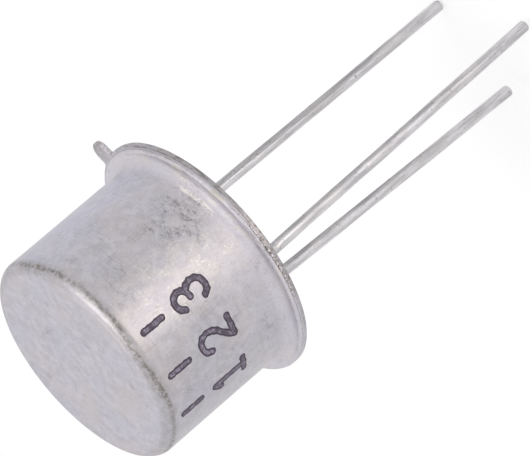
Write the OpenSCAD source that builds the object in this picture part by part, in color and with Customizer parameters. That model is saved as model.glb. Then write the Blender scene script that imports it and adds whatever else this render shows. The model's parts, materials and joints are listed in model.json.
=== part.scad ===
// Metal can npn transistor in a TO-39 case: a drawn cap welded to a glass-sealed
// header, with the chip and its two bond wires inside and three leads below.
//
// Origin: centre of the seating plane, which is the underside of the header's rim.
// +Z runs up the can to its closed top, the leads run down, and the index tab points
// along +X. Seen from above, the leads follow the tab anticlockwise: emitter, base,
// collector, at 45, 135 and 225 degrees. All sizes are in millimetres.

/* [Can] */
// Height of the closed top above the seating plane
can_h = 6.1; // [5.2:0.05:7.4]
// Outer diameter of the wall, which the header and the leads follow
can_d = 8.18; // [6.6:0.02:10]
// Thickness of the drawn sheet
can_wall = 0.25; // [0.15:0.01:0.32]
// Outer radius of the corner between the wall and the closed top
can_corner_r = 0.42; // [0.3:0.01:0.8]
// Radius of the sweep from the wall out to the rim
cove_r = 0.41; // [0.2:0.01:0.6]
// How far the cap's rim stands out past the wall
cap_rim_w = 0.535; // [0.4:0.005:0.8]
// Thickness of the cap's rim, coined thinner than its wall
cap_rim_t = 0.15; // [0.12:0.01:0.3]
// Rounding of the rim's upper edge
cap_rim_edge = 0.1; // [0.02:0.01:0.11]
// How far the cap sits off the header's centre, away from the tab
cap_shift = 0.065; // [0:0.005:0.1]

/* [Header] */
// How far the header's rim stands out past the cap's
header_rim_step = 0.075; // [0.07:0.005:0.3]
// Thickness of the header's rim, coined thinner than its sheet
header_rim_t = 0.17; // [0.14:0.01:0.3]
// Thickness of the header's sheet
header_t = 0.25; // [0.2:0.01:0.3]
// Clearance between the raised eyelet and the inside of the can
eyelet_gap = 0.29; // [0.1:0.01:0.5]
// Height of the platform that carries the chip, above the seating plane
platform_h = 1.3; // [1:0.05:1.6]
// Diameter of the two holes that let the emitter and base leads through
seal_hole_d = 1.2; // [0.9:0.05:1.3]
// Width of the index tab
tab_w = 0.82; // [0.6:0.02:1]
// How far the index tab reaches past the rim
tab_len = 0.72; // [0.5:0.02:1.1]
// Fillet where the tab meets the rim
tab_fillet = 0.12; // [0.04:0.01:0.3]
// How far the glass stops short of the seating plane
glass_recess = 0.14; // [0.05:0.01:0.25]

/* [Leads] */
// Diameter of each tinned lead
lead_d = 0.42; // [0.34:0.01:0.53]
// Thickness of the tin on each lead
tin_t = 0.01; // [0.005:0.005:0.03]
// How far below the seating plane the tin ends
tin_stop = 0.1; // [0.05:0.05:0.6]
// Length over which the tin thins out before it ends
tin_fade = 0.6; // [0.1:0.05:1.1]
// Distance from each lead's axis to the hollow's wall; 0.76 sets the leads on a 5.08 mm circle
lead_inset = 0.76; // [0.65:0.01:1.1]
// Length of the longest lead below the seating plane
lead_len = 13.95; // [8:0.05:20]
// How much shorter each lead was cut: emitter, base, collector
lead_trim = [0, 0.4, 0.15]; // [0:0.01:2]
// How far each lead sits round from its nominal place, in degrees
lead_turn = [0, 0, 4]; // [-5:0.5:5]
// How far each lead leans out of upright, in degrees
lead_lean = [-0.6, -1.9, 0.8]; // [-2.5:0.1:2.5]
// Direction in which a positive lean carries the tips, in degrees from the tab
lean_dir = -9; // [-180:1:180]
// Height of the emitter and base posts above the platform
post_h = 0.5; // [0.3:0.05:0.9]
// Diameter of the coined head on top of each post
post_head_d = 0.62; // [0.5:0.02:0.8]

/* [Chip] */
// Side of the silicon chip
chip_w = 0.76; // [0.6:0.02:1]
// Thickness of the chip
chip_t = 0.2; // [0.15:0.01:0.3]
// Side of the gold preform that holds the chip down
preform_w = 0.94; // [0.8:0.02:1.2]
// Thickness of the gold preform
preform_t = 0.025; // [0.02:0.005:0.05]
// Thickness given to the aluminium contact films
contact_t = 0.01; // [0.008:0.002:0.02]
// Fingers on the emitter contact
emitter_fingers = 4; // [2:1:6]
// Diameter of the bond wires
wire_d = 0.05; // [0.03:0.005:0.06]
// How far each bond wire arches above a straight line between its ends
wire_rise = 0.45; // [0.2:0.05:0.8]

/* [Hidden] */
$fn = 96;

// Colours, as the finished part shows them.
nickel = [0.74, 0.73, 0.75];
tinned = [0.7, 0.7, 0.71];
seal_glass = [0.14, 0.17, 0.17];
gold = [0.83, 0.68, 0.33];
silicon = [0.3, 0.31, 0.36];
aluminium = [0.85, 0.86, 0.88];

// Places in the three lists of leads above.
EMITTER = 0;
BASE = 1;
COLLECTOR = 2;

// Can
can_r = can_d / 2;
inner_corner_r = can_corner_r - can_wall / 2;
cap_rim_r = can_r + cap_rim_w;
sweep_r = min(cove_r, cap_rim_w - cap_rim_edge);
rim_bend_r = 0.35;              // inner bend between the wall and the rim
cap_z = header_rim_t;           // the cap's rim lies on the header's rim
sweep_z = cap_z + cap_rim_t;    // foot of the sweep from the wall out to the rim

// Header
header_r = cap_rim_r + header_rim_step;
eyelet_r = can_r - can_wall - eyelet_gap;
cavity_r = eyelet_r - header_t;
cavity_h = platform_h - header_t;
eyelet_corner_r = 0.32;         // outer corner of the platform
cavity_corner_r = 0.14;         // inner corner under the platform
mouth_r = 0.26;                 // rounded mouth of the cavity, seen from below
eyelet_foot_r = 0.1;            // fillet between the rim and the eyelet
seal_hole_r = seal_hole_d / 2;

// Leads
lead_r = lead_d / 2;
core_r = lead_r - tin_t;        // bare lead, as it passes through the seal
tin_z = tin_stop + tin_fade;    // depth at which the tin reaches its full thickness
lead_circle_r = cavity_r - lead_inset;
tip_edge = 0.08;                // rounding of the cut tips
head_t = 0.1;                   // thickness of a post's coined head
head_flare = 0.08;              // height of the flare under the head
post_z = platform_h + post_h;
meniscus_h = 0.11;              // climb of the glass up each lead
meniscus_w = 0.15;              // width of that climb at its foot
meniscus_edge = 0.03;           // width that is left of it at its tip
neck_bead_r = seal_hole_r - 0.09;  // foot of the glass bead on top of each neck

// Chip
die_z = platform_h + preform_t;
contact_z = die_z + chip_t;
pad_z = contact_z + contact_t;
bus_w = 0.12;                   // width of each contact's bus bar, which takes the bond
die_margin = 0.06;              // bare silicon round the contacts
bus_out = chip_w / 2 - die_margin;
bus_in = bus_out - bus_w;
finger_pitch = 2 * bus_out / (2 * emitter_fingers + 1);
finger_w = finger_pitch / 2;
finger_gap = 0.04;              // between a finger's tip and the opposite bus bar
ball_r = 0.06;
ball_h = 0.05;
bond_y = 0.14;                  // place of the bond along a bus bar
foot_l = 0.16;                  // wedge bond on top of a post
foot_w = 0.08;

function polar(r, a) = [r * cos(a), r * sin(a)];
function lead_angle(i) = 45 + 90 * i + lead_turn[i];
function lead_at(i) = polar(lead_circle_r, lead_angle(i));
function lead_below(i) = lead_len - lead_trim[i];

// A bar from the axis out to r, with a rounded upper outer edge.
module rounded_bar(r, h, edge) {
    square([r, h - edge]);
    square([r - edge, h]);
    intersection() {
        translate([r - edge, h - edge]) circle(edge);
        square([r, h]);
    }
}

// The web that fills a corner between a wall at x = 0 and a floor at y = 0.
module corner_web(r) {
    difference() {
        square(r);
        translate([r, r]) circle(r);
    }
}

// Half section of the cap's outside, filled to the axis.
module cap_outside() {
    translate([0, cap_z]) {
        rounded_bar(cap_rim_r, cap_rim_t, cap_rim_edge);
        rounded_bar(can_r, can_h - cap_z, can_corner_r);
    }
    translate([can_r, sweep_z]) corner_web(sweep_r);
}

// Half section of the space inside the cap.
module cap_inside() {
    foot = can_r - can_wall;
    rounded_bar(foot, can_h - can_wall, inner_corner_r);
    translate([foot, cap_z]) corner_web(rim_bend_r);
}

// Drawn nickel-plated cup: closed top, straight wall, and a swept rim.
module cap() {
    color(nickel)
    translate([-cap_shift, 0, 0])
    rotate_extrude()
    difference() {
        cap_outside();
        cap_inside();
    }
}

// Half section of the hollow under the platform, which the glass fills.
module cavity() {
    translate([0, -cavity_h]) rounded_bar(cavity_r, 2 * cavity_h, cavity_corner_r);
    translate([cavity_r, 0]) corner_web(mouth_r);
}

// Outline of the index tab, with its round end and the fillets at its root.
module tab_outline() {
    end_x = header_r + tab_len - tab_w / 2;
    root_x = sqrt(pow(header_r + tab_fillet, 2) - pow(tab_w / 2 + tab_fillet, 2));
    translate([header_r / 2, -tab_w / 2]) square([end_x - header_r / 2, tab_w]);
    translate([end_x, 0]) circle(tab_w / 2);
    difference() {
        translate([root_x - 2 * tab_fillet, -tab_w / 2 - tab_fillet])
            square([2 * tab_fillet, tab_w + 2 * tab_fillet]);
        for (side = [-1, 1])
            translate([root_x, side * (tab_w / 2 + tab_fillet)]) circle(tab_fillet);
    }
}

// Stamped eyelet: rim with the index tab, and the raised platform.
module header() {
    color(nickel)
    difference() {
        union() {
            linear_extrude(header_rim_t) tab_outline();
            rotate_extrude() {
                square([header_r, header_rim_t]);
                rounded_bar(eyelet_r, platform_h, eyelet_corner_r);
                translate([eyelet_r, header_rim_t]) corner_web(eyelet_foot_r);
            }
        }
        rotate_extrude() cavity();
        for (i = [EMITTER, BASE])
            translate(lead_at(i)) cylinder(h = 2 * platform_h, r = seal_hole_r);
    }
}

// Puts its children on lead i's own axis, which leans about the seating plane.
module on_lead(i) {
    translate(lead_at(i))
    rotate([0, 0, lean_dir])
    rotate([0, -lead_lean[i], 0])
    children();
}

// A collar of glass that narrows from r to the lead's edge, going up or down from z.
module meniscus(i, z, r, way) {
    on_lead(i)
    translate([0, 0, z])
    mirror([0, 0, way < 0 ? 1 : 0])
    cylinder(h = meniscus_h, r1 = r, r2 = core_r + meniscus_edge);
}

// One casting of glass: it fills the hollow, runs up through both holes and climbs
// each lead a little at either end.
module glass_seal() {
    color(seal_glass)
    difference() {
        union() {
            rotate_extrude()
            intersection() {
                cavity();
                translate([0, glass_recess]) square([eyelet_r + mouth_r, platform_h]);
            }
            for (i = [EMITTER, BASE]) {
                translate([lead_at(i).x, lead_at(i).y, cavity_h - header_t])
                    cylinder(h = 2 * header_t, r = seal_hole_r);
                meniscus(i, platform_h, neck_bead_r, 1);
            }
            for (i = [EMITTER, BASE, COLLECTOR])
                meniscus(i, glass_recess, core_r + meniscus_w, -1);
        }
        for (i = [EMITTER, BASE, COLLECTOR])
            on_lead(i) cylinder(h = 4 * platform_h, r = core_r, center = true);
    }
}

// A lead: tinned below the header, round at its cut tip and level at the top. A headed one
// ends in a coined head, flared from the lead, which gives the bond wire a flat to land on.
module lead(i, top_z, headed) {
    color(tinned)
    difference() {
        on_lead(i)
        rotate_extrude() {
            mirror([0, 1]) translate([0, tin_z])
                rounded_bar(lead_r, lead_below(i) - tin_z, tip_edge);
            polygon([[0, -tin_z], [lead_r, -tin_z], [core_r, -tin_stop], [0, -tin_stop]]);
            translate([0, -tin_stop]) square([core_r, tin_stop + top_z + head_t]);
            if (headed)
                polygon([[0, top_z - head_t - head_flare], [core_r, top_z - head_t - head_flare],
                         [post_head_d / 2, top_z - head_t], [post_head_d / 2, top_z + head_t],
                         [0, top_z + head_t]]);
        }
        translate([lead_at(i).x - post_head_d, lead_at(i).y - post_head_d, top_z])
            cube([2 * post_head_d, 2 * post_head_d, 4 * head_t]);
    }
}

module emitter_lead() {
    lead(EMITTER, post_z, true);
}

module base_lead() {
    lead(BASE, post_z, true);
}

// The collector lead stops at the platform, which it is welded to.
module collector_lead() {
    lead(COLLECTOR, cavity_h, false);
}

// A square plate centred on the platform.
module plate(w, t) {
    translate([-w / 2, -w / 2, 0]) cube([w, w, t]);
}

module die_attach() {
    color(gold) translate([0, 0, platform_h]) plate(preform_w, preform_t);
}

module die() {
    color(silicon) translate([0, 0, die_z]) plate(chip_w, chip_t);
}

// A comb-shaped contact film: a bus bar with fingers at every second pitch.
module comb(fingers) {
    translate([0, 0, contact_z])
    linear_extrude(contact_t) {
        translate([bus_in, -bus_out]) square([bus_w, 2 * bus_out]);
        for (n = [0 : fingers - 1])
            translate([-bus_in + finger_gap, (2 * n - fingers + 1) * finger_pitch - finger_w / 2])
                square([2 * bus_in, finger_w]);
    }
}

module emitter_contact() {
    color(aluminium) comb(emitter_fingers);
}

// The base comb has one finger more and closes in from the other side.
module base_contact() {
    color(aluminium) mirror([1, 0, 0]) comb(emitter_fingers + 1);
}

// A bond wire: ball on the contact, an arc over the chip's edge, and a wedge on the post.
module bond_wire(from, to) {
    span = [to.x - from.x, to.y - from.y];
    rise = to.z - from.z;
    flat_run = norm(span);
    chord = norm([flat_run, rise]);
    arc_r = chord * chord / (8 * wire_rise) + wire_rise / 2;
    half = asin(chord / (2 * arc_r));
    heading = atan2(span.y, span.x);
    translate(from) cylinder(h = ball_h, r = ball_r);
    translate(to) rotate([0, 0, heading])
        translate([-foot_l / 2, -foot_w / 2, 0]) cube([foot_l, foot_w, wire_d]);
    translate([from.x, from.y, from.z + wire_d / 2])
    rotate([0, 0, heading])
    rotate([0, -atan2(rise, flat_run), 0])
    translate([chord / 2, 0, wire_rise - arc_r])
    rotate([90, 0, 0])
    rotate([0, 0, 90 - half])
    rotate_extrude(angle = 2 * half)
    translate([arc_r, 0]) circle(wire_d / 2);
}

module emitter_wire() {
    post = lead_at(EMITTER);
    color(aluminium)
    bond_wire([bus_in + bus_w / 2, bond_y, pad_z], [post.x, post.y, post_z]);
}

module base_wire() {
    post = lead_at(BASE);
    color(aluminium)
    bond_wire([-bus_in - bus_w / 2, bond_y, pad_z], [post.x, post.y, post_z]);
}

cap();
header();
glass_seal();
emitter_lead();
base_lead();
collector_lead();
die_attach();
die();
emitter_contact();
base_contact();
emitter_wire();
base_wire();
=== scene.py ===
import math
import json

import bmesh
import bpy
from bpy.props import FloatProperty, FloatVectorProperty, IntProperty, PointerProperty
from mathutils import Matrix, Vector, noise


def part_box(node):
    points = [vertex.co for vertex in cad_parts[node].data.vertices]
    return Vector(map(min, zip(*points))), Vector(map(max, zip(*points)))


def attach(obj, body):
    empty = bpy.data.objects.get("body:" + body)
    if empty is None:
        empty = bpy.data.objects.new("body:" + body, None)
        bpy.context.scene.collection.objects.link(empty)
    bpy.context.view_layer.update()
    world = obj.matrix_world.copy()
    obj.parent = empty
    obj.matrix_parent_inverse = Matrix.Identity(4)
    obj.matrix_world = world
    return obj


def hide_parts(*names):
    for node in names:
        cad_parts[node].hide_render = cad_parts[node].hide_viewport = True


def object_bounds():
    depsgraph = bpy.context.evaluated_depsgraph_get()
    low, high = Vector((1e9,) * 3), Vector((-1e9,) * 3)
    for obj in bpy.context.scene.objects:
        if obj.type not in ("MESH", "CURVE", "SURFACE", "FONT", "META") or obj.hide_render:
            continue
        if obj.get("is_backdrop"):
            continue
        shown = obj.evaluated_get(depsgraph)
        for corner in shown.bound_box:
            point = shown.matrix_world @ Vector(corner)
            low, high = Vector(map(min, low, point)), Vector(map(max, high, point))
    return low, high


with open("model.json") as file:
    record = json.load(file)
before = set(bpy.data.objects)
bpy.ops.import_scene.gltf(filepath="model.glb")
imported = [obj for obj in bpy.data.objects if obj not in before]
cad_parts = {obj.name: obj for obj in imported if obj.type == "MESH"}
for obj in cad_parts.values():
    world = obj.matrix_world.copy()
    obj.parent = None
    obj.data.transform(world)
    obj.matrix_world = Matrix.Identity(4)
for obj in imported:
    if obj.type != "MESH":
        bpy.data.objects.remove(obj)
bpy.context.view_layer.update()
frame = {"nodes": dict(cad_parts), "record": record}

bl_info = {
    "name": "Metal Can Transistor",
    "version": (1, 0, 0),
    "blender": (4, 5, 0),
    "location": "View3D > Sidebar > Transistor",
    "description": "Finishes a metal can npn transistor round its solid model",
    "category": "Object",
}

MM = 0.001
BOXES = {name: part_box(name) for name in frame["nodes"]}
MOUNTS = {mount["name"]: mount for mount in frame["record"]["mounts"]}
LEADS = ("emitter", "base", "collector")


# Sizes that come from the solid model, in metres
CAN_AXIS = MOUNTS["can_wall"]["pos_m"][:2]
CAN_RADIUS = MOUNTS["can_wall"]["dims"]["r_mm"] * MM
CAN_TOP = BOXES["cap"][1].z
CAP_RIM_RADIUS = (BOXES["cap"][1].y - BOXES["cap"][0].y) / 2
HEADER_RADIUS = BOXES["header"][1].y
LEAD_RADIUS = MOUNTS["emitter_pin"]["dims"]["r_mm"] * MM


# Settings


def length_prop(name, description, default_mm, precision=5):
    """A size that a user can change."""
    told = {"name": name, "description": description, "default": default_mm * MM}
    return FloatProperty(**told, unit="LENGTH", precision=precision)


def colour_prop(name, description, default):
    """A colour that a user can change."""
    told = {"name": name, "description": description, "default": default}
    return FloatVectorProperty(**told, subtype="COLOR", size=3, min=0, max=1)


def angle_prop(name, description, degrees):
    """An angle that a user can change."""
    told = {"name": name, "description": description, "default": math.radians(degrees)}
    return FloatProperty(**told, subtype="ANGLE")


class CanSettings(bpy.types.PropertyGroup):
    wall: length_prop("Sheet thickness", "Thickness of the drawn sheet", 0.25)
    corner: length_prop(
        "Corner radius", "Outer radius between the wall and the closed top", 0.42
    )
    sweep: length_prop("Sweep radius", "Radius of the sweep from the wall out to the rim", 0.41)
    rim: length_prop("Rim thickness", "Thickness of the coined rim", 0.15)
    rim_edge: length_prop("Rim edge", "Rounding of the rim's upper edge", 0.1)
    dish: length_prop("Dish", "How far the closed top sinks at its centre", 0.02)
    segments: IntProperty(
        name="Segments", description="Steps round the can", default=384, min=96, max=480
    )
    nickel: colour_prop("Nickel", "Colour of the satin plate", (0.506, 0.487, 0.524))
    tarnish: colour_prop(
        "Tarnish", "Colour of the dull line along the top corner", (0.2, 0.185, 0.165)
    )


class HeaderSettings(bpy.types.PropertyGroup):
    rim: length_prop("Rim thickness", "Thickness of the header's coined rim", 0.17)
    tab_width: length_prop("Tab width", "Width of the index tab", 0.82)
    tab_fillet: length_prop("Tab fillet", "Fillet where the tab meets the rim", 0.12)
    edge: length_prop("Edge", "Rounding left on the stamped outline", 0.035)
    sheet: length_prop("Sheet thickness", "Thickness of the raised eyelet", 0.25)
    eyelet: length_prop("Eyelet radius", "Outer radius of the raised eyelet", 3.55)
    seal_hole: length_prop("Seal hole", "Radius of the holes that let the leads through", 0.6)
    bead: length_prop(
        "Weld bead", "Radius of the bead of weld metal in the step of the rims", 0.045
    )
    weld: colour_prop("Weld", "Colour of the scorched weld metal", (0.25, 0.215, 0.185))


class LeadSettings(bpy.types.PropertyGroup):
    tin: colour_prop("Tin", "Colour of the tinned wire", (0.57, 0.555, 0.575))
    post_head: length_prop("Post head", "Diameter of the coined head on top of a post", 0.62)
    waver: length_prop("Waver", "How far a wire wanders from straight", 0.02)


class GlassSettings(bpy.types.PropertyGroup):
    colour: colour_prop("Glass", "Colour of the sealing glass", (0.05, 0.065, 0.062))


class ChipSettings(bpy.types.PropertyGroup):
    silicon: colour_prop("Silicon", "Colour of the chip", (0.16, 0.17, 0.2))
    gold: colour_prop("Gold", "Colour of the preform under the chip", (0.83, 0.6, 0.25))
    aluminium: colour_prop(
        "Aluminium", "Colour of the contacts and bond wires", (0.8, 0.81, 0.83)
    )


class LegendSettings(bpy.types.PropertyGroup):
    height: length_prop("Height", "Height of a number", 1.35)
    width: length_prop("Width", "Width of a number", 0.8)
    stroke: length_prop("Stroke", "Width of a stroke", 0.26)
    film: length_prop("Film", "Thickness of the ink", 0.006, precision=6)
    ink: colour_prop("Ink", "Colour of the ink", (0.056, 0.043, 0.07))


class StageSettings(bpy.types.PropertyGroup):
    azimuth: angle_prop("Azimuth", "Camera's way round the part from straight ahead", -9.064)
    elevation: angle_prop("Elevation", "Camera's height above the horizon", 24.38)
    roll: angle_prop("Roll", "Turn of the camera about its line of sight", -130.68)
    distance: length_prop("Distance", "Distance from the camera to what it aims at", 204.4)
    lens: FloatProperty(
        name="Lens", description="Focal length", default=410.04, subtype="DISTANCE_CAMERA"
    )
    floor_gap: length_prop("Floor gap", "Space between the lead tips and the floor", 0.05)
    room: FloatProperty(
        name="Room light",
        description="Strength of the even light from all round",
        default=0.64,
        min=0,
    )


# Mesh building


def turns(count):
    """That many angles, evenly once round."""
    return [2 * math.pi * i / count for i in range(count)]


def arc(centre, radius, start, end, steps):
    """Points on an arc from start to end in degrees, ends included."""
    swept = [math.radians(start + (end - start) * i / steps) for i in range(steps + 1)]
    return [
        (centre[0] + radius * math.cos(t), centre[1] + radius * math.sin(t))
        for t in swept
    ]


def between(a, b, steps):
    """Points on a straight line from a to b, both left out."""
    return [
        (a[0] + (b[0] - a[0]) * i / steps, a[1] + (b[1] - a[1]) * i / steps)
        for i in range(1, steps)
    ]


def loft(name, loops):
    """A piece with its skin drawn through loops of points.

    A loop of one point closes that end. Without one, the last loop joins the first.
    """
    mesh = bmesh.new()
    rings = [[mesh.verts.new(point) for point in loop] for loop in loops]
    pairs = list(zip(rings, rings[1:]))
    if len(rings[0]) > 1 and len(rings[-1]) > 1:
        pairs.append((rings[-1], rings[0]))
    for low, high in pairs:
        count = max(len(low), len(high))
        for i in range(count):
            j = (i + 1) % count
            corners = [low[i % len(low)], low[j % len(low)]]
            corners += [high[j % len(high)], high[i % len(high)]]
            mesh.faces.new(dict.fromkeys(corners))
    bmesh.ops.recalc_face_normals(mesh, faces=mesh.faces)
    return as_object(name, mesh)


def as_object(name, mesh):
    """Turns a bmesh into a smooth-shaded object in the scene."""
    data = bpy.data.meshes.new(name)
    mesh.to_mesh(data)
    mesh.free()
    data.shade_smooth()
    piece = bpy.data.objects.new(name, data)
    bpy.context.scene.collection.objects.link(piece)
    return piece


def crease(piece, angle):
    """Keeps edges sharper than angle, in degrees, crisp."""
    piece.data.set_sharp_from_angle(angle=math.radians(angle))


def paint(piece, **rules):
    """Stores what each rule says of each vertex's place, under the rule's name."""
    for name, rule in rules.items():
        layer = piece.data.attributes.new(name, "FLOAT", "POINT")
        layer.data.foreach_set("value", [rule(vertex.co) for vertex in piece.data.vertices])


def nowhere(point):
    """The rule for wear or painted light that a piece doesn't have."""
    return 0.0


def around(point, axis=(0.0, 0.0)):
    """Angle of a point about an upright axis, in degrees."""
    return math.degrees(math.atan2(point[1] - axis[1], point[0] - axis[0]))


def turn_between(a, b):
    """The smaller turn from b to a, in degrees."""
    return (a - b + 180) % 360 - 180


def aside(point, angle, axis=(0.0, 0.0)):
    """How far round an upright axis a point is from angle, either way, in degrees."""
    return abs(turn_between(around(point, axis), angle))


def fade(value, near, far):
    """1 up to near, falling smoothly to 0 at far."""
    t = min(max((far - value) / (far - near), 0.0), 1.0)
    return t * t * (3 - 2 * t)


def finish_piece(piece, material, slot, *nodes):
    """Gives a new piece its material and body, and hides the nodes it stands in for. Its slot
    is not used.
    """
    set_material(piece, material)
    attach(piece, "root")
    if nodes:
        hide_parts(*nodes)


def set_material(piece, material):
    """Leaves a piece with this material alone."""
    piece.data.materials.clear()
    piece.data.materials.append(material)


# Materials

# Colours that lie on or show through the plate, the tin, the weld and the glass, and painted
# highlights and painted shade on the plate
BUFF = (0.71, 0.67, 0.61)
GRIME = (0.3, 0.275, 0.26)
RUBBED = (0.68, 0.64, 0.57)
GAPS = (0.36, 0.34, 0.35)
SPARKS = (0.88, 0.87, 0.86)
BURNISHED = (0.97, 0.93, 0.88)
GRAIN = (0.27, 0.26, 0.28)
SCRATCH = (0.24, 0.23, 0.25)
SPECK = (0.14, 0.135, 0.145)
VEIL = (0.26, 0.26, 0.28)
CHALK = (0.8, 0.78, 0.76)
SHADE = (0.22, 0.21, 0.2)
SMEAR = (0.19, 0.178, 0.172)
NICKED = (0.2, 0.19, 0.19)
SOOT = (0.08, 0.07, 0.065)
SEED = (0.2, 0.23, 0.22)


def tint(colour, *factors):
    """The colour times one factor, or one for each channel, up to 1."""
    factors = factors * 3 if len(factors) == 1 else factors
    return tuple(min(1.0, c * k) for c, k in zip(colour, factors))


class Tree:
    """The nodes of a material or a world while they are being laid."""

    def __init__(self, owner, output="ShaderNodeOutputMaterial"):
        owner.use_nodes = True
        self.nodes, self.links = owner.node_tree.nodes, owner.node_tree.links
        self.nodes.clear()
        self.output = self.nodes.new(output)

    def feed(self, socket, value):
        """Sets a socket to a plain value, or joins it to another socket."""
        if isinstance(value, bpy.types.NodeSocket):
            self.links.new(value, socket)
        elif socket.type == "RGBA":
            socket.default_value = (*value, 1.0)
        else:
            socket.default_value = value

    def node(self, kind, inputs, **settings):
        """The outputs of a new node of that kind with those inputs and settings."""
        node = self.nodes.new("ShaderNode" + kind)
        for name, value in settings.items():
            setattr(node, name, value)
        for name, value in inputs.items():
            self.feed(node.inputs[name], value)
        return node.outputs

    def show(self, surface):
        """Joins a shader to the output."""
        self.links.new(surface, self.output.inputs["Surface"])

    def math(self, operation, a, b=0.0):
        """Two values joined by a math operation."""
        return self.node("Math", {0: a, 1: b}, operation=operation)["Value"]

    def times(self, value, *others):
        """Values multiplied together."""
        for other in others:
            value = self.math("MULTIPLY", value, other)
        return value


class Finish(Tree):
    """A new material and its shader while their nodes are being laid."""

    def __init__(self, name):
        self.material = bpy.data.materials.new(name)
        super().__init__(self.material)
        self.shader = self.nodes.new("ShaderNodeBsdfPrincipled")
        self.show(self.shader.outputs["BSDF"])
        self.place = self.node("TexCoord", {})["Object"]

    def shade(self, value, colour, dark, light, low=0.35, high=0.65):
        """Starts the tone: the colour times dark to times light as value goes up."""
        value = self.ramp(value, low, high)
        self.tone = self.mix(value, tint(colour, dark), tint(colour, light))

    def over(self, amount, colour):
        """Lays that amount of a colour over the tone."""
        self.tone = self.mix(amount, self.tone, colour)

    def done(self, polish, relief, **others):
        """The material, with its tone, roughness, relief and other inputs fed.

        The names of the other inputs are written with _ for a space.
        """
        inputs = {"Base Color": self.tone, "Roughness": polish, "Normal": relief}
        inputs.update((name.replace("_", " "), value) for name, value in others.items())
        for name, value in inputs.items():
            self.feed(self.shader.inputs[name], value)
        return self.material

    def rim_place(self):
        """Coordinates that run along the rim, up it and out from it."""
        split = self.node("SeparateXYZ", {0: self.place})
        squares = [self.math("POWER", split[side], 2.0) for side in "XY"]
        out = self.math("SQRT", self.math("ADD", *squares))
        return self.node("CombineXYZ", {0: self.attribute("along"), 1: split["Z"], 2: out})[0]

    def noise(self, size, detail=3.0, roughness=0.55, stretch=None, turn=(0, 0, 0), place=None):
        """Noise from about 0.3 to 0.7, with features of that size in metres.

        It is drawn out by stretch along axes turned by turn, in degrees.
        """
        where = place or self.place
        if stretch:
            turned = tuple(math.radians(t) for t in turn)
            mapping = {"Vector": where, "Scale": stretch, "Rotation": turned}
            where = self.node("Mapping", mapping, vector_type="TEXTURE")["Vector"]
        look = {"Scale": 1 / size, "Detail": detail, "Roughness": roughness}
        return self.node("TexNoise", {"Vector": where, **look})["Fac"]

    def attribute(self, name):
        """What paint stored under that name."""
        return self.node("Attribute", {}, attribute_name=name)["Fac"]

    def ramp(self, value, low, high, start=0.0, end=1.0):
        """Start at low and below, end at high and above, smooth between."""
        inputs = {"Value": value, "From Min": low, "From Max": high}
        inputs.update({"To Min": start, "To Max": end})
        return self.node("MapRange", inputs, interpolation_type="SMOOTHSTEP")["Result"]

    def mix(self, amount, a, b):
        """Colour a with that amount of colour b over it."""
        return self.node("Mix", {0: amount, 6: a, 7: b}, data_type="RGBA")[2]

    def bump(self, height, depth, onto=None):
        """Relief of that depth in metres, over any relief below it."""
        below = {} if onto is None else {"Normal": onto}
        return self.node("Bump", {"Distance": depth, "Height": height, **below})["Normal"]


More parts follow.
